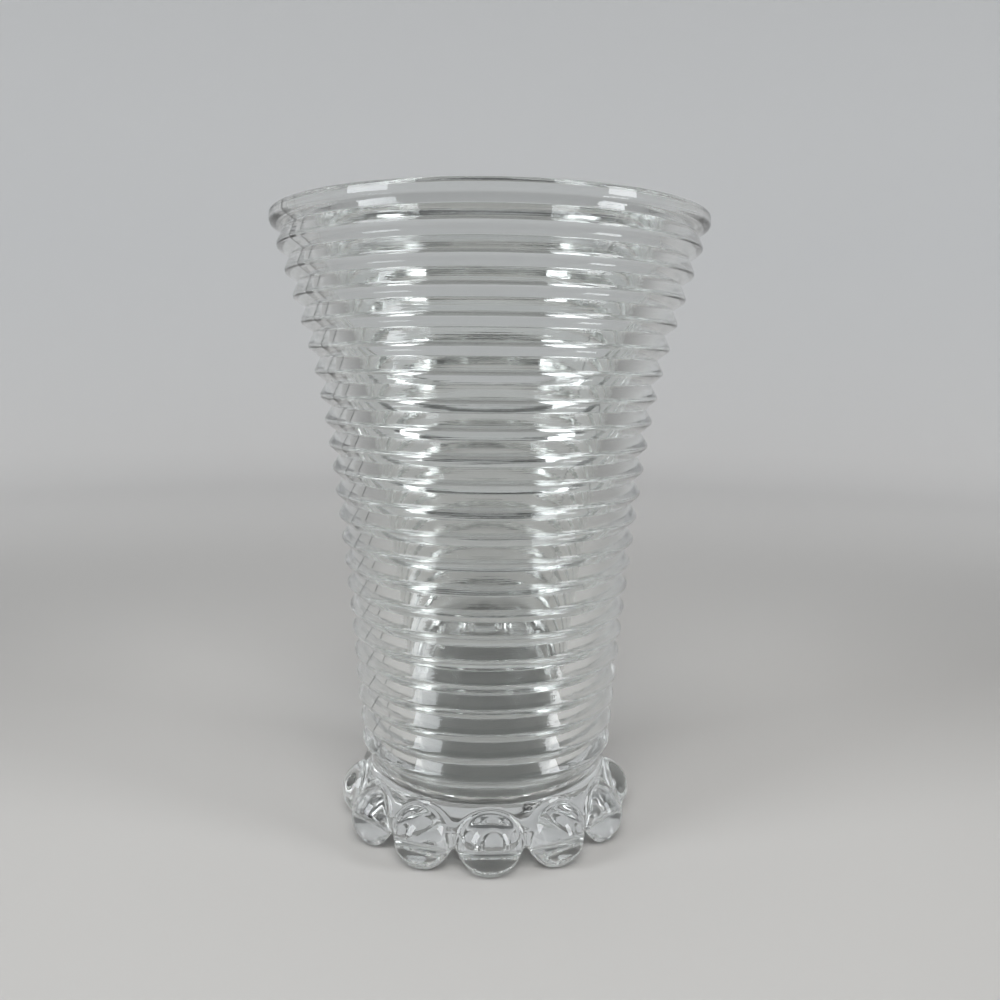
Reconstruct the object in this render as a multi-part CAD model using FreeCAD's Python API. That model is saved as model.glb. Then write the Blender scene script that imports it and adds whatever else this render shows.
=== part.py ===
"""Round flared glass vase: a rim bead, a wall of stacked ribs, a thick base and a ring of ball feet.

The glass is turned about Z. The origin is at the bottom centre, on the table, and the front faces -Y.
All lengths are in millimetres.
"""
import FreeCAD, Part
import math
import os

os.makedirs("parts", exist_ok=True)

# Overall sizes
total_height = 203.2
rim_outer_radius = 70.5
rim_height = 6.6
rim_corner_radius = 1.1

# Ribbed wall
rib_count = 22
rib_depth = 2.9
rib_crest_radius = 1.4
lowest_rib_radius = 42.9
wall_at_rim = 5.4
wall_at_base = 6.4
flare_height_shares = (0.0, 0.25, 0.5, 0.65, 0.75, 0.875, 1.0)
flare_radius_shares = (0.0, 0.124, 0.293, 0.424, 0.552, 0.772, 1.0)

# Base: a recess below, the floor, and a coved skirt outside
recess_depth = 7.0
recess_draft = 1.6
floor_thickness = 10.0
floor_corner_radius = 7.5
neck_rise = 1.2
skirt_overhang = 0.5
skirt_cove_height = 13.0
skirt_cove_depth = 0.85

# Ball feet
ball_count = 12
ball_gap = 0.46
ball_sink = 3.1
foot_flat_cut = 1.6
first_ball_angle = 2.0

# Sizes that follow from those above
floor_height = recess_depth + floor_thickness
neck_height = floor_height + floor_corner_radius + neck_rise
rib_pitch = (total_height - rim_height - neck_height) / rib_count
lowest_crest_height = neck_height + rib_pitch / 2
flare_height = rib_count * rib_pitch
skirt_radius = lowest_rib_radius + skirt_overhang
recess_mouth_radius = skirt_radius + recess_draft
ball_ring_radius = skirt_radius - ball_sink
ball_radius = ball_ring_radius * math.sin(math.pi / ball_count) - ball_gap / 2
ball_center_height = ball_radius - foot_flat_cut

AXIS = FreeCAD.Vector(0, 0, 1)
ORIGIN = FreeCAD.Vector(0, 0, 0)
halvings = 60


def section_point(radius, height):
    """A point of a section, in the plane through the axis."""
    return FreeCAD.Vector(radius, 0, height)


def line(start, end):
    return Part.LineSegment(start, end).toShape()


def arc(start, middle, end):
    return Part.Arc(start, middle, end).toShape()


def turned(edges):
    """The solid that a closed section makes when it turns once about the axis."""
    return Part.Face(Part.Wire(edges)).revolve(ORIGIN, AXIS, 360)


def flare_curve(inset_at_base, inset_at_rim):
    """The smooth flare that touches the crests, moved inwards by a distance that changes with height."""
    points = []
    for height_share, radius_share in zip(flare_height_shares, flare_radius_shares):
        radius = lowest_rib_radius + radius_share * (rim_outer_radius - lowest_rib_radius)
        inset = inset_at_base + height_share * (inset_at_rim - inset_at_base)
        points.append(section_point(radius - inset, lowest_crest_height + height_share * flare_height))
    curve = Part.BSplineCurve()
    curve.interpolate(points)
    return curve


def at_height(curve, height):
    """The curve's point and outward normal at a height, along the end's tangent past an end."""
    low, high = curve.FirstParameter, curve.LastParameter
    for _ in range(halvings):
        middle = (low + high) / 2
        if curve.value(middle).z < height:
            low = middle
        else:
            high = middle
    tangent = curve.tangent(low)[0]
    point = curve.value(low)
    point = point + tangent * ((height - point.z) / tangent.z)
    return point, section_point(tangent.z, -tangent.x)


def tangent_point(outside, center, radius, upper):
    """Where the line from a point outside a circle touches it, on its upper or lower side."""
    reach = outside - center
    turn = math.acos(radius / reach.Length) * (1 if upper else -1)
    start = math.atan2(reach.z, reach.x)
    return center + section_point(math.cos(start + turn), math.sin(start + turn)) * radius


def valley_points():
    """The sharp valleys between ribs, from the neck up to the rim bead."""
    points = []
    for number in range(rib_count + 1):
        point, outward = at_height(crest_curve, neck_height + number * rib_pitch)
        points.append(point - outward * rib_depth)
    return points


def rib_edges(number):
    """One rib's outline from the valley below to the valley above: flank, round crest, flank."""
    crest, outward = at_height(crest_curve, lowest_crest_height + number * rib_pitch)
    center = crest - outward * rib_crest_radius
    low = tangent_point(valleys[number], center, rib_crest_radius, True)
    high = tangent_point(valleys[number + 1], center, rib_crest_radius, False)
    return [line(valleys[number], low), arc(low, crest, high), line(high, valleys[number + 1])]


def inner_point(height):
    """The smooth inside of the wall at a height."""
    return at_height(inner_curve, height)[0]


def ribbed_wall():
    """The wall from the neck to the rim bead, ribbed outside and smooth inside."""
    edges = [edge for number in range(rib_count) for edge in rib_edges(number)]
    inside_bottom, inside_top = inner_point(valleys[0].z), inner_point(valleys[-1].z)
    knots = [inner_point(lowest_crest_height + share * flare_height) for share in flare_height_shares[1:-1]]
    inside = Part.BSplineCurve()
    inside.interpolate([inside_top] + knots[::-1] + [inside_bottom])
    edges += [line(valleys[-1], inside_top), inside.toShape(), line(inside_bottom, valleys[0])]
    return turned(edges)


def corner_arc(center, radius, start_angle, end_angle):
    """A round corner of a section between two directions, in degrees from the outward one."""
    middle_angle = (start_angle + end_angle) / 2
    points = []
    for angle in (start_angle, middle_angle, end_angle):
        turn = math.radians(angle)
        points.append(center + section_point(math.cos(turn), math.sin(turn)) * radius)
    return arc(*points), points[0], points[-1]


def rim_bead():
    """The rounded bead that ends the wall: a last half rib below, round shoulders above."""
    valley, inside = valleys[-1], inner_point(valleys[-1].z)
    crest_center = section_point(rim_outer_radius - rib_crest_radius, lowest_crest_height + flare_height)
    low = tangent_point(valley, crest_center, rib_crest_radius, True)
    crest = crest_center + section_point(rib_crest_radius, 0)
    low_turn = math.atan2(low.z - crest_center.z, low.x - crest_center.x)
    lower, _, _ = corner_arc(crest_center, rib_crest_radius, math.degrees(low_turn), 0)
    shoulder_height = total_height - rim_corner_radius
    outer_center = section_point(rim_outer_radius - rim_corner_radius, shoulder_height)
    inner_center = section_point(rim_outer_radius - wall_at_rim + rim_corner_radius, shoulder_height)
    outer, outer_low, outer_high = corner_arc(outer_center, rim_corner_radius, 0, 90)
    inner, inner_high, inner_low = corner_arc(inner_center, rim_corner_radius, 90, 180)
    return turned([
        line(valley, low),
        lower,
        line(crest, outer_low),
        outer,
        line(outer_high, inner_high),
        inner,
        line(inner_low, inside),
        line(inside, valley),
    ])


def base_floor():
    """The thick floor with the coved skirt that carries the feet."""
    inside_top = inner_point(valleys[0].z)
    corner_center = section_point(inside_top.x - floor_corner_radius, floor_height + floor_corner_radius)
    corner, corner_low, corner_high = corner_arc(corner_center, floor_corner_radius, -90, 0)
    cove_low = section_point(skirt_radius, valleys[0].z - skirt_cove_height)
    cove_chord = cove_low - valleys[0]
    cove_inward = section_point(cove_chord.z, -cove_chord.x).normalize()
    cove_middle = (cove_low + valleys[0]) / 2 + cove_inward * skirt_cove_depth
    under_edge = section_point(skirt_radius, recess_depth)
    under_center = section_point(0, recess_depth)
    floor_center = section_point(0, floor_height)
    return turned([
        line(inside_top, valleys[0]),
        arc(valleys[0], cove_middle, cove_low),
        line(cove_low, under_edge),
        line(under_edge, under_center),
        line(under_center, floor_center),
        line(floor_center, corner_low),
        corner,
        line(corner_high, inside_top),
    ])


def recess():
    """The hollow under the base, which also cuts the inner side of each foot."""
    return Part.makeCone(recess_mouth_radius, skirt_radius, recess_depth)


def table_block():
    """Everything below the table, where each foot is ground flat."""
    width = 2 * (ball_ring_radius + 2 * ball_radius)
    corner = FreeCAD.Vector(-width / 2, -width / 2, -2 * ball_radius)
    return Part.makeBox(width, width, 2 * ball_radius, corner)


def ball_foot(angle):
    """One foot: the part of a ball that stands out of the skirt, cut flat where it meets the table."""
    turn = math.radians(angle)
    center = FreeCAD.Vector(math.sin(turn), -math.cos(turn), 0) * ball_ring_radius
    center.z = ball_center_height
    ball = Part.makeSphere(ball_radius, center, AXIS)
    foot = ball.cut(base).cut(recess()).cut(table_block())
    return max(foot.Solids, key=lambda solid: solid.Volume)


crest_curve = flare_curve(0, 0)
inner_curve = flare_curve(wall_at_base, wall_at_rim)
valleys = valley_points()
base = base_floor()

nodes = {"rim_bead": rim_bead(), "ribbed_wall": ribbed_wall(), "base_floor": base}
for number in range(ball_count):
    nodes[f"ball_foot_{number + 1:02d}"] = ball_foot(first_ball_angle + 360 * number / ball_count)

for name, shape in nodes.items():
    shape.exportStep(f"parts/{name}.step")
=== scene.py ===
import math

import bpy
import numpy as np
from mathutils import Matrix, Vector


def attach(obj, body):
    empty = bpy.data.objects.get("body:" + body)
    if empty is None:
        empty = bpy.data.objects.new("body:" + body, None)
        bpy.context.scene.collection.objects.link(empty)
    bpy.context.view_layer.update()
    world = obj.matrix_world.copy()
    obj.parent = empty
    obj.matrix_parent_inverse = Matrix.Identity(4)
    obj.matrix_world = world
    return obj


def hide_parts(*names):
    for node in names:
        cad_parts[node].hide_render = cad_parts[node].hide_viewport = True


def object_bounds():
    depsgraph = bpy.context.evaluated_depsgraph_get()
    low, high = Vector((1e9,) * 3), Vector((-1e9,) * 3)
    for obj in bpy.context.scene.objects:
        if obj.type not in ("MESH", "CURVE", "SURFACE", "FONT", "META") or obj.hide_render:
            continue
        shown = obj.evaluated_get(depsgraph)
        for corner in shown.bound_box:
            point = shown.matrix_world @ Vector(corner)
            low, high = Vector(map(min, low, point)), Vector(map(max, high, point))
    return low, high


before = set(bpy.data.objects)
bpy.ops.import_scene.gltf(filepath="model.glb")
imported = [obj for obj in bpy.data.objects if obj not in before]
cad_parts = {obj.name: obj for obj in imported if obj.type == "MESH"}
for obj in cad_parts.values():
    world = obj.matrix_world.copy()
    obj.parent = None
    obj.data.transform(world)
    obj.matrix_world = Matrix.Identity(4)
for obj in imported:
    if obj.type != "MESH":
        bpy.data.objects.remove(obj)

cad_low, cad_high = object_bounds()

# Turned glass, in metres and counts
ring_gap = 0.00002
merge_distance = ring_gap / 10
side_lean = 0.05
crest_steps = 6
valley_round = 0.00025
valley_steps = 2
wall_row_gap = 0.0055
underside_rings = (0.0, 0.008, 0.016, 0.024, 0.032)
floor_rings = (0.024, 0.018, 0.012, 0.006, 0.0)
weld_distance = 0.00003

# Feet: the balls, and how they run into the skirt and the table
foot_count = 12
first_foot_turn = math.radians(2)
ball_gap = 0.00046
ball_sink = 0.0031
foot_flat_cut = 0.0016
skirt_fillet = 0.0020
ball_fillet = 0.0010
web_corner = 0.0024
toe_round = 0.0012
toe_drop = 0.00041
recess_draft = 0.0016
recess_corner = 0.0026
press_start = 0.0018
press_reach = 0.0120
focus_inset = 0.0033
focus_rise = 0.0014
neck_gap = 0.00135
crease_high = 0.0208
crease_low = 0.0165
neck_rows = 4
crease_rows = 12
ball_rows = 20
toe_rows = 9
recess_shares = (0.85, 0.6, 0.35)
recess_corner_rows = 4
toe_wall_turn = math.radians(3)
halvings = 40
turn_digits = 9

# Columns round the glass, crowded between the feet and at the two mould seams
columns_per_foot = 15
foot_column_parts = 3
web_crowding = 0.25
seam_feet = (5, 11)
seam_columns = (0.0, 3.0, 12.0)
seam_offsets = (0.0, 0.8, 12.0)
seam_height = 0.0001
seam_end_gap = 0.0012
seam_lean = 0.3
seam_plane_turn = math.radians(0.01)

# Glass: its unevenness as noise scales per metre and depths, its polish, its colour and the painted shade
# along its mould seams
glass_ior = 1.52
glass_bounces = 24
wave_scale = (70, 70, 70)
wave_detail = 1
wave_depth = 0.00003
grain_scale = (420, 420, 420)
grain_detail = 2
grain_depth = 0.000004
mark_scale = (12, 12, 1500)
mark_detail = 2
mark_depth = 0.000012
haze_scale = (45, 45, 45)
haze_detail = 2
roughness_least = 0.0
roughness_most = 0.03
glass_colour = (0.94, 0.953, 0.943, 1)
# painted shade: a thin dark line along each mould seam, beside the seam that the mesh really raises
seam_shade_colour = (0.09, 0.095, 0.09, 1)
seam_shade_line = (0.1, 0.7)

# Studio: a pale sweep that is dimmer in front and at the sides, two windows and a fill light
floor_drop = 0.00005
sweep_floor_radius = 1.0
sweep_round = 0.6
sweep_height = 1.8
sweep_steps = 16
sweep_columns = 96
sweep_roughness = 0.6
sweep_shine = 0.2
# painted light: the sweep's paint runs from a darker floor near the vase, where the lamps fall strongest, to
# a lighter bend, where their light falls off
floor_share = 0.15
floor_colour = (0.60, 0.585, 0.565, 1)
bend_share = 0.75
painted_light_bend_colour = (0.80, 0.79, 0.78, 1)
wall_colour = (0.76, 0.765, 0.77, 1)
dim_front = -0.4
pale_back = 0.75
dim_share = 0.16
dim_near = 0.12
dim_far = 0.6
room_colour = (0.13, 0.133, 0.136, 1)
light_aim = (0, 0, 0.1)
light_distance = 1.3
left_window = {"turn": math.radians(-60), "rise": math.radians(25), "width": 0.50, "tall": 0.80, "power": 8}
left_window_colour = (0.93, 0.97, 1.0)
right_window = {"turn": math.radians(65), "rise": math.radians(20), "width": 0.35, "tall": 0.80, "power": 6.5}
right_window_colour = (0.95, 0.98, 1.0)
fill_place = (0, -1.1, 1.5)
fill_aim = (0, 0.9, 0.15)
fill_size = 1.2
fill_colour = (1, 1, 1)
fill_power = 21

# Camera of the photograph
image_width = 1000
camera_place = (-0.00018, -0.3133, 0.1537)
camera_pitch_down = math.radians(7.736)
camera_yaw = math.radians(0.773)
camera_roll = math.radians(0.568)
focal_length_pixels = 929.08
sensor_width = 36.0
nearest_seen = 0.01


def deselect_all():
    bpy.ops.object.select_all(action="DESELECT")


def named(name):
    """The object just added, with its own name on object and mesh."""
    added = bpy.context.object
    added.name = added.data.name = name
    return added


def side_rings(node, facing):
    """The rings of a turned CAD node's outer (1) or inner (-1) side, as (radius, height), lowest first."""
    rings = {}
    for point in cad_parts[node].data.vertices:
        radius = math.hypot(point.co.x, point.co.y)
        outward = point.normal.x * point.co.x + point.normal.y * point.co.y
        if outward * facing > side_lean * radius:
            rings[round(radius / ring_gap), round(point.co.z / ring_gap)] = (radius, point.co.z)
    return sorted(rings.values(), key=lambda ring: ring[1])


def between(start, end, share):
    return tuple(a + share * (b - a) for a, b in zip(start, end))


def bend(start, corner, end, steps):
    """Points along a soft bend from start to end that heads for the corner between them."""
    shares = [number / steps for number in range(steps + 1)]
    return [between(between(start, corner, t), between(corner, end, t), t) for t in shares]


def rounded_valley(before, valley, after):
    low = between(valley, before, valley_round / math.dist(valley, before))
    high = between(valley, after, valley_round / math.dist(valley, after))
    return bend(low, valley, high, valley_steps)


def crest_arc(start, middle, end):
    """Points along the circle through three points of a rib's crest."""
    a, b, c = (complex(*point) for point in (start, middle, end))
    w = (c - a) / (b - a)
    center = (b - a) * (w - abs(w) ** 2) / (2j * w.imag) + a
    first, last = ((point - center) for point in (a, c))
    turn = math.remainder(math.atan2(last.imag, last.real) - math.atan2(first.imag, first.real), math.tau)
    spots = [center + first * np.exp(1j * turn * number / crest_steps) for number in range(crest_steps + 1)]
    return [(spot.real, spot.imag) for spot in spots]


def ribbed_outline():
    """The ribs' outline, from just above the neck's valley to just below the rim's."""
    rings = side_rings("ribbed_wall", 1)
    skirt = side_rings("base_floor", 1)
    rim = side_rings("rim_bead", 1)
    last = len(rings) - 1
    dips = [i for i in range(1, last) if rings[i][0] < min(rings[i - 1][0], rings[i + 1][0])]
    valleys = [0] + dips + [last]
    outline = rounded_valley(skirt[-2], rings[0], rings[1])
    for low, high in zip(valleys, valleys[1:]):
        outline += crest_arc(rings[low + 1], rings[(low + high) // 2], rings[high - 1])
        after = rings[high + 1] if high < valleys[-1] else rim[1]
        outline += rounded_valley(rings[high - 1], rings[high], after)
    return outline


def thinned(rings, gap):
    """Rings at least a gap apart, with the first and last kept."""
    kept = [rings[0]]
    for ring in rings[1:-1]:
        if math.dist(kept[-1], ring) >= gap and math.dist(rings[-1], ring) >= gap:
            kept.append(ring)
    return kept + [rings[-1]]


def smooth_least(a, b, size):
    near = np.clip(size - np.abs(a - b), 0, None) / size
    return np.minimum(a, b) - near**2 * size / 4


def smooth_most(a, b, size):
    return -smooth_least(-a, -b, size)


skirt_rings = side_rings("base_floor", 1)
skirt_radius, recess_top = skirt_rings[0]
neck_height = skirt_rings[-1][1]
floor_height = side_rings("base_floor", -1)[0][1]
foot_pitch = math.tau / foot_count
ring_radius = skirt_radius - ball_sink
ball_radius = ring_radius * math.sin(foot_pitch / 2) - ball_gap / 2
ball_height = ball_radius - foot_flat_cut


def skirt_at(height):
    return np.interp(height, [ring[1] for ring in skirt_rings], [ring[0] for ring in skirt_rings])


def outside_foot_glass(radius, height, turn):
    """How far a point lies outside the skirt and its balls; turn is from the nearest ball's middle."""
    skirt = smooth_most(radius - skirt_at(height), recess_top - height, web_corner)
    near, far = np.abs(turn), foot_pitch - np.abs(turn)
    balls = [np.sqrt(radius**2 + ring_radius**2 - 2 * radius * ring_radius * np.cos(side)
                     + (height - ball_height) ** 2) - ball_radius for side in (near, far)]
    glass = smooth_least(skirt, smooth_least(*balls, ball_fillet), skirt_fillet)
    return smooth_most(glass, -height - toe_drop, toe_round)


def press_lines():
    """The foot's rows from neck to toe: where each starts in the glass, meets the skirt and ends outside."""
    neck = np.linspace(neck_height - neck_gap, crease_high, neck_rows, endpoint=False)
    crease = np.linspace(crease_high, crease_low, crease_rows, endpoint=False)
    ball = np.linspace(crease_low, recess_top, ball_rows + 1)
    heights = np.concatenate([neck, crease, ball])
    turns = np.arctan2(heights - ball_height - focus_rise, skirt_at(heights) - ring_radius + focus_inset)
    wall_turn = math.atan2(-recess_top, recess_draft) + toe_wall_turn
    toe_turns = np.linspace(turns[-1], wall_turn, toe_rows + 1)[1:]
    heights = np.append(heights, np.full(toe_rows, recess_top))[:, None]
    turns = np.append(turns, toe_turns)[:, None]
    on_skirt = skirt_at(heights), heights
    starts = on_skirt[0] - press_start, np.maximum(heights, recess_top + press_start)
    ends = on_skirt[0] + press_reach * np.cos(turns), heights + press_reach * np.sin(turns)
    return starts, on_skirt, ends


def glass_edge(lines, turn):
    """How far along each press line the glass ends: 0 at its start, 1 at the skirt and 2 at its end."""
    low = np.zeros((len(lines[0][0]), len(turn)))
    high = low + 2
    for _ in range(halvings):
        path = (low + high) / 2
        inside = outside_foot_glass(*along(lines, path), turn) < 0
        low, high = np.where(inside, path, low), np.where(inside, high, path)
    return low


def along(lines, path):
    inner, outer = np.clip(path, 0, 1), np.clip(path - 1, 0, 1)
    return [a + inner * (b - a) + outer * (c - b) for a, b, c in zip(*lines)]


def recess_rows(toe, toe_reach):
    """The rows from the toe up the recess's wall and round its corner."""
    corner = np.array([[skirt_radius], [recess_top]])
    corner = toe + (corner - toe) * np.clip(toe_reach / recess_corner, 0, 1)
    wall = np.array([[recess_draft], [-recess_top]]) / math.hypot(recess_draft, recess_top)
    rows = [corner + wall * toe_reach * share for share in recess_shares]
    wall_end = rows[-1]
    under = np.array([[skirt_radius - recess_corner], [recess_top]]) + 0 * toe
    for share in np.linspace(0, 1, recess_corner_rows + 1)[1:]:
        rows.append((1 - share) ** 2 * wall_end + 2 * share * (1 - share) * corner + share**2 * under)
    return rows


def foot_outline(turn):
    """The foot's radii and heights, a row for each ring and a column for each turn from a ball's middle."""
    lines = press_lines()
    path = glass_edge(lines, turn)
    radii, heights = along(lines, path)
    toe = np.array([radii[-1], heights[-1]])
    rows = recess_rows(toe, press_reach * np.clip(path[-1] - 1, 0, 1))
    radii = np.vstack([radii] + [row[:1] for row in rows])
    heights = np.vstack([heights] + [row[1:] for row in rows])
    return radii, heights


def glass_section():
    """Half the glass's outline through a ball's middle, from under the floor, up outside and down inside."""
    radii, heights = foot_outline(np.zeros(1))
    foot = list(zip(radii[::-1, 0], heights[::-1, 0]))
    inside = side_rings("rim_bead", -1)[::-1]
    inside += thinned(side_rings("ribbed_wall", -1), wall_row_gap)[::-1][1:]
    inside += side_rings("base_floor", -1)[::-1][1:]
    section = [(radius, recess_top) for radius in underside_rings] + foot + ribbed_outline()
    section += side_rings("rim_bead", 1)[1:] + inside
    return section + [(radius, floor_height) for radius in floor_rings]


def turned(name, section, columns):
    """A turned shape: one corner is drawn out along the section and spun round the axis."""
    deselect_all()
    bpy.ops.mesh.primitive_plane_add(size=ring_gap, location=(0, 0, 0))
    blank = named(name)
    bpy.ops.object.mode_set(mode="EDIT")
    bpy.ops.mesh.select_mode(type="VERT")
    bpy.ops.mesh.merge(type="CENTER")
    place = Vector((0, 0, 0))
    for radius, height in section:
        corner = Vector((radius * math.sin(first_foot_turn), -radius * math.cos(first_foot_turn), height))
        bpy.ops.mesh.extrude_region_move(TRANSFORM_OT_translate={"value": corner - place})
        place = corner
    bpy.ops.object.mode_set(mode="OBJECT")
    drop_first_corner(blank)
    bpy.ops.object.mode_set(mode="EDIT")
    bpy.ops.mesh.select_all(action="SELECT")
    bpy.ops.mesh.spin(steps=columns, angle=math.tau, center=(0, 0, 0), axis=(0, 0, 1))
    bpy.ops.mesh.select_all(action="SELECT")
    bpy.ops.mesh.remove_doubles(threshold=merge_distance)
    bpy.ops.object.mode_set(mode="OBJECT")
    return blank


def drop_first_corner(blank):
    """Deletes the corner at the origin from which the section was drawn out."""
    bpy.ops.object.mode_set(mode="EDIT")
    bpy.ops.mesh.select_all(action="DESELECT")
    bpy.ops.object.mode_set(mode="OBJECT")
    for corner in blank.data.vertices:
        corner.select = corner.co.length < ring_gap / 2
    bpy.ops.object.mode_set(mode="EDIT")
    bpy.ops.mesh.delete(type="VERT")
    bpy.ops.object.mode_set(mode="OBJECT")


def corners_of(piece):
    places = np.empty(3 * len(piece.data.vertices), np.float32)
    piece.data.vertices.foreach_get("co", places)
    return places.reshape(-1, 3).astype(float)


def move_corners(piece, places):
    piece.data.vertices.foreach_set("co", places.astype(np.float32).ravel())
    piece.data.update()


def foot_row(radius, height):
    """Which of the foot's rows each corner of the turned blank is on, or -1."""
    row_radii, row_heights = foot_outline(np.zeros(1))
    gaps = np.hypot(radius[:, None] - row_radii[:, 0], height[:, None] - row_heights[:, 0])
    return np.where(gaps.min(1) < ring_gap, gaps.argmin(1), -1)


def split_foot_columns(glass):
    """Cuts each column of the foot into parts, since the balls need more corners than the ribs."""
    places = corners_of(glass)
    row = foot_row(np.hypot(places[:, 0], places[:, 1]), places[:, 2])
    bpy.ops.object.mode_set(mode="EDIT")
    bpy.ops.mesh.select_mode(type="EDGE")
    bpy.ops.mesh.select_all(action="DESELECT")
    bpy.ops.object.mode_set(mode="OBJECT")
    ends = np.empty(2 * len(glass.data.edges), np.int32)
    glass.data.edges.foreach_get("vertices", ends)
    ends = row[ends.reshape(-1, 2)]
    glass.data.edges.foreach_set("select", (ends[:, 0] == ends[:, 1]) & (ends[:, 0] >= 0))
    bpy.ops.object.mode_set(mode="EDIT")
    bpy.ops.mesh.subdivide(number_cuts=foot_column_parts - 1)
    bpy.ops.object.mode_set(mode="OBJECT")


def press_feet(glass):
    """Crowds the columns at webs and seams, and presses the gaps between the balls into the turned foot."""
    places = corners_of(glass)
    radius, height = np.hypot(places[:, 0], places[:, 1]), places[:, 2]
    row = foot_row(radius, height)
    columns = columns_per_foot * foot_column_parts
    column = np.round((np.arctan2(places[:, 0], -places[:, 1]) - first_foot_turn) / foot_pitch * columns)
    foot = np.round(column / columns)
    offset = column - foot * columns
    at_seam = np.isin(foot % foot_count, [number - 1 for number in seam_feet])
    crowded = np.sign(offset) * np.interp(np.abs(offset), seam_columns, seam_offsets)
    offset = np.where(at_seam & (np.abs(offset) < seam_columns[-1]), crowded, offset)
    turn = offset / columns * foot_pitch
    turn = turn + web_crowding * foot_pitch / math.tau * np.sin(turn / foot_pitch * math.tau)
    turns, which = np.unique(np.round(turn, turn_digits), return_inverse=True)
    pressed_radii, pressed_heights = foot_outline(turns)
    radius = np.where(row >= 0, pressed_radii[row, which], radius)
    height = np.where(row >= 0, pressed_heights[row, which], height)
    turn = first_foot_turn + foot * foot_pitch + turn
    move_corners(glass, np.column_stack([radius * np.sin(turn), -radius * np.cos(turn), height]))


def finish_glass():
    glass = turned("pressed_glass", glass_section(), foot_count * columns_per_foot)
    split_foot_columns(glass)
    press_feet(glass)
    bpy.ops.object.mode_set(mode="EDIT")
    bpy.ops.mesh.select_all(action="SELECT")
    bpy.ops.mesh.remove_doubles(threshold=weld_distance)
    bpy.ops.mesh.normals_make_consistent(inside=False)
    bpy.ops.object.mode_set(mode="OBJECT")
    bpy.ops.object.shade_smooth()
    raise_seams(glass)
    weighted = glass.modifiers.new("even_shading", "WEIGHTED_NORMAL")
    weighted.mode = "FACE_AREA"
    bpy.ops.object.modifier_apply(modifier=weighted.name)
    return glass


def raise_seams(glass):
    """Lifts the one line of corners that runs up the outside in each mould seam's plane, and marks it for the
    painted seam shade.
    """
    seam_shade_mark = glass.data.attributes.new("seam", "FLOAT", "POINT")
    places = corners_of(glass)
    radius, height = np.hypot(places[:, 0], places[:, 1]), places[:, 2]
    turn = np.arctan2(places[:, 0], -places[:, 1]) - first_foot_turn
    for foot in seam_feet:
        away = np.abs(np.remainder(turn - (foot - 1) * foot_pitch + math.pi, math.tau) - math.pi)
        on_seam = np.flatnonzero((away < seam_plane_turn) & (radius > skirt_radius / 2))
        for number in on_seam:
            normal = glass.data.vertices[number].normal
            outward = normal.x * places[number, 0] + normal.y * places[number, 1]
            if outward > seam_lean * radius[number]:
                seam_shade_mark.data[number].value = 1
                if seam_end_gap < height[number] < cad_high.z - seam_end_gap:
                    places[number] += seam_height * np.array(normal)
    move_corners(glass, places)


def ranged(nodes, smooth, low, high, low_result):
    """A step that turns low…high into low_result…1."""
    step = nodes.new("ShaderNodeMapRange")
    step.interpolation_type = "SMOOTHSTEP" if smooth else "LINEAR"
    step.inputs["From Min"].default_value = low
    step.inputs["From Max"].default_value = high
    step.inputs["To Min"].default_value = low_result
    return step


def patterned(nodes, links, scale, detail):
    """Noise that stays in place on the glass, with a scale for each direction."""
    place = nodes.new("ShaderNodeTexCoord")
    stretch = nodes.new("ShaderNodeMapping")
    stretch.inputs["Scale"].default_value = scale
    noise = nodes.new("ShaderNodeTexNoise")
    noise.inputs["Scale"].default_value = 1
    noise.inputs["Detail"].default_value = detail
    links.new(place.outputs["Object"], stretch.inputs["Vector"])
    links.new(stretch.outputs["Vector"], noise.inputs["Vector"])
    return noise.outputs["Fac"]


def ripple(nodes, links, height, depth, under):
    """A layer of the glass's unevenness, on top of the layer under it."""
    bump = nodes.new("ShaderNodeBump")
    bump.inputs["Strength"].default_value = 1
    bump.inputs["Distance"].default_value = depth
    links.new(height, bump.inputs["Height"])
    if under:
        links.new(under, bump.inputs["Normal"])
    return bump.outputs["Normal"]


def ribs_alone(nodes, links, height):
    """A pattern faded out below the ribs, over the skirt."""
    place = nodes.new("ShaderNodeTexCoord")
    apart = nodes.new("ShaderNodeSeparateXYZ")
    on_ribs = ranged(nodes, False, ball_height + ball_radius, neck_height, 0)
    faded = nodes.new("ShaderNodeMath")
    faded.operation = "MULTIPLY"
    links.new(place.outputs["Object"], apart.inputs["Vector"])
    links.new(apart.outputs["Z"], on_ribs.inputs["Value"])
    links.new(height, faded.inputs[0])
    links.new(on_ribs.outputs["Result"], faded.inputs[1])
    return faded.outputs["Value"]


def glass_colour_with_painted_seam_shade(nodes, links):
    """The glass's colour, with a thin dark line of painted shade where the mould's halves met; the seam
    itself is raised in the mesh, its dark line is painted.
    """
    seam = nodes.new("ShaderNodeAttribute")
    seam.attribute_name = "seam"
    line = ranged(nodes, True, *seam_shade_line, 0)
    tint = nodes.new("ShaderNodeMix")
    tint.data_type = "RGBA"
    tint.inputs["A"].default_value = glass_colour
    tint.inputs["B"].default_value = seam_shade_colour
    links.new(seam.outputs["Fac"], line.inputs["Value"])
    links.new(line.outputs["Result"], tint.inputs["Factor"])
    return tint.outputs["Result"]


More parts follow.
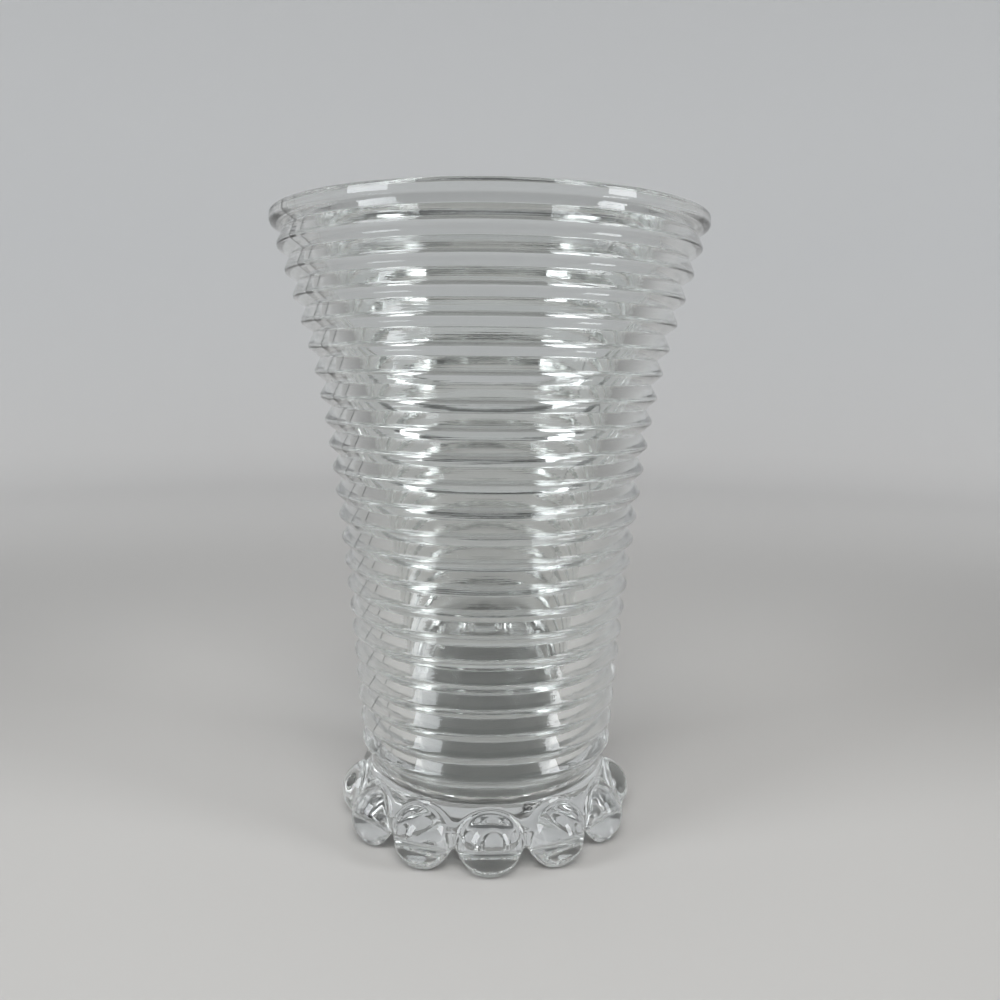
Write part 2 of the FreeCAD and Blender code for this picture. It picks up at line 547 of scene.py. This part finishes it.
def pressed_glass_material():
    """Clear glass with a faint green cast, uneven where the mould chilled it, not quite evenly polished."""
    glass = bpy.data.materials.new("clear_pressed_glass")
    glass.use_nodes = True
    nodes, links = glass.node_tree.nodes, glass.node_tree.links
    shader = nodes["Principled BSDF"]
    shader.inputs["Transmission Weight"].default_value = 1
    shader.inputs["IOR"].default_value = glass_ior
    # the base colour carries the painted shade along the mould seams
    links.new(glass_colour_with_painted_seam_shade(nodes, links), shader.inputs["Base Color"])
    waves = ripple(nodes, links, patterned(nodes, links, wave_scale, wave_detail), wave_depth, None)
    grain = ripple(nodes, links, patterned(nodes, links, grain_scale, grain_detail), grain_depth, waves)
    turning = ribs_alone(nodes, links, patterned(nodes, links, mark_scale, mark_detail))
    links.new(ripple(nodes, links, turning, mark_depth, grain), shader.inputs["Normal"])
    polish = nodes.new("ShaderNodeMapRange")
    polish.inputs["To Min"].default_value = roughness_least
    polish.inputs["To Max"].default_value = roughness_most
    links.new(patterned(nodes, links, haze_scale, haze_detail), polish.inputs["Value"])
    links.new(polish.outputs["Result"], shader.inputs["Roughness"])
    return glass


def camera():
    view = bpy.data.cameras.new("photo_view")
    view.lens = sensor_width * focal_length_pixels / image_width
    view.sensor_width = sensor_width
    camera_object = bpy.data.objects.new("photo_view", view)
    bpy.context.scene.collection.objects.link(camera_object)
    camera_object.matrix_world = (
        Matrix.Translation(camera_place)
        @ Matrix.Rotation(-camera_yaw, 4, "Z")
        @ Matrix.Rotation(math.pi / 2 - camera_pitch_down, 4, "X")
        @ Matrix.Rotation(camera_roll, 4, "Z")
    )
    view.clip_start = nearest_seen
    bpy.context.scene.camera = camera_object


def area_light(name, place, aim, width, tall, power, colour):
    """A soft light at a place, aimed at another, that the camera doesn't see."""
    lamp = bpy.data.lights.new(name, "AREA")
    lamp.shape = "RECTANGLE"
    lamp.size, lamp.size_y = width, tall
    lamp.energy = power
    lamp.color = colour
    lamp_object = bpy.data.objects.new(name, lamp)
    lamp_object.location = place
    lamp_object.rotation_euler = (Vector(aim) - Vector(place)).to_track_quat("-Z", "Y").to_euler()
    lamp_object.visible_camera = False
    bpy.context.scene.collection.objects.link(lamp_object)
    return lamp_object


def window(name, colour, turn, rise, width, tall, power):
    """A window's light, at a turn from the front and a rise above the vase's middle."""
    way = Vector((math.sin(turn) * math.cos(rise), -math.cos(turn) * math.cos(rise), math.sin(rise)))
    area_light(name, Vector(light_aim) + way * light_distance, light_aim, width, tall, power, colour)


def fill_light():
    """A light for the sweep, kept out of the glass's reflections."""
    fill = area_light("fill", fill_place, fill_aim, fill_size, fill_size, fill_power, fill_colour)
    fill.visible_glossy = False
    fill.visible_transmission = False


def sweep_paint():
    """Pale paint, with painted light making it lighter towards the bend where the lamps' light falls off, and
    dimmer in front and at the sides, to outline the glass.
    """
    paint = bpy.data.materials.new("pale_sweep")
    paint.use_nodes = True
    nodes, links = paint.node_tree.nodes, paint.node_tree.links
    shader = nodes["Principled BSDF"]
    shader.inputs["Roughness"].default_value = sweep_roughness
    shader.inputs["Specular IOR Level"].default_value = sweep_shine
    place = nodes.new("ShaderNodeTexCoord")
    distance = nodes.new("ShaderNodeVectorMath")
    distance.operation = "LENGTH"
    outwards = ranged(nodes, False, 0, sweep_floor_radius + sweep_round, 0)
    # painted light: this ramp lightens the paint towards the bend to even out the lamps' falloff
    colour = nodes.new("ShaderNodeValToRGB")
    stops = colour.color_ramp.elements
    stops[0].position, stops[0].color = floor_share, floor_colour
    stops[1].position, stops[1].color = 1, wall_colour
    stops.new(bend_share).color = painted_light_bend_colour
    links.new(place.outputs["Object"], distance.inputs[0])
    links.new(distance.outputs["Value"], outwards.inputs["Value"])
    links.new(outwards.outputs["Result"], colour.inputs["Fac"])
    apart = nodes.new("ShaderNodeSeparateXYZ")
    backwards = ranged(nodes, True, dim_front, pale_back, dim_share)
    away = ranged(nodes, True, dim_near, dim_far, 0)
    dimming = nodes.new("ShaderNodeMix")
    dimming.inputs["A"].default_value = 1
    dimmed = nodes.new("ShaderNodeVectorMath")
    dimmed.operation = "SCALE"
    links.new(place.outputs["Object"], apart.inputs["Vector"])
    links.new(apart.outputs["Y"], backwards.inputs["Value"])
    links.new(distance.outputs["Value"], away.inputs["Value"])
    links.new(away.outputs["Result"], dimming.inputs["Factor"])
    links.new(backwards.outputs["Result"], dimming.inputs["B"])
    links.new(colour.outputs["Color"], dimmed.inputs[0])
    links.new(dimming.outputs["Result"], dimmed.inputs["Scale"])
    links.new(dimmed.outputs["Vector"], shader.inputs["Base Color"])
    return paint


def studio():
    """A round pale sweep under and about the vase, its lights, and a dim room above."""
    section = [(0, -floor_drop), (sweep_floor_radius, -floor_drop)]
    for step in range(1, sweep_steps + 1):
        turn = math.pi / 2 * step / sweep_steps
        radius = sweep_floor_radius + sweep_round * math.sin(turn)
        section.append((radius, sweep_round * (1 - math.cos(turn)) - floor_drop))
    section.append((sweep_floor_radius + sweep_round, sweep_height))
    sweep = turned("studio_sweep", section, sweep_columns)
    bpy.ops.object.shade_smooth()
    sweep.data.materials.append(sweep_paint())
    world = bpy.data.worlds.new("dim_room")
    bpy.context.scene.world = world
    world.use_nodes = True
    background = world.node_tree.nodes["Background"]
    background.inputs["Color"].default_value = room_colour
    window("left_window", left_window_colour, **left_window)
    window("right_window", right_window_colour, **right_window)
    fill_light()


vase = finish_glass()
vase.data.materials.append(pressed_glass_material())
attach(vase, "root")
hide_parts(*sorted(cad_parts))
camera()
studio()
bpy.context.scene.view_settings.view_transform = "Standard"
bpy.context.scene.cycles.transmission_bounces = glass_bounces
bpy.context.scene.cycles.glossy_bounces = glass_bounces
bpy.context.scene.cycles.max_bounces = glass_bounces
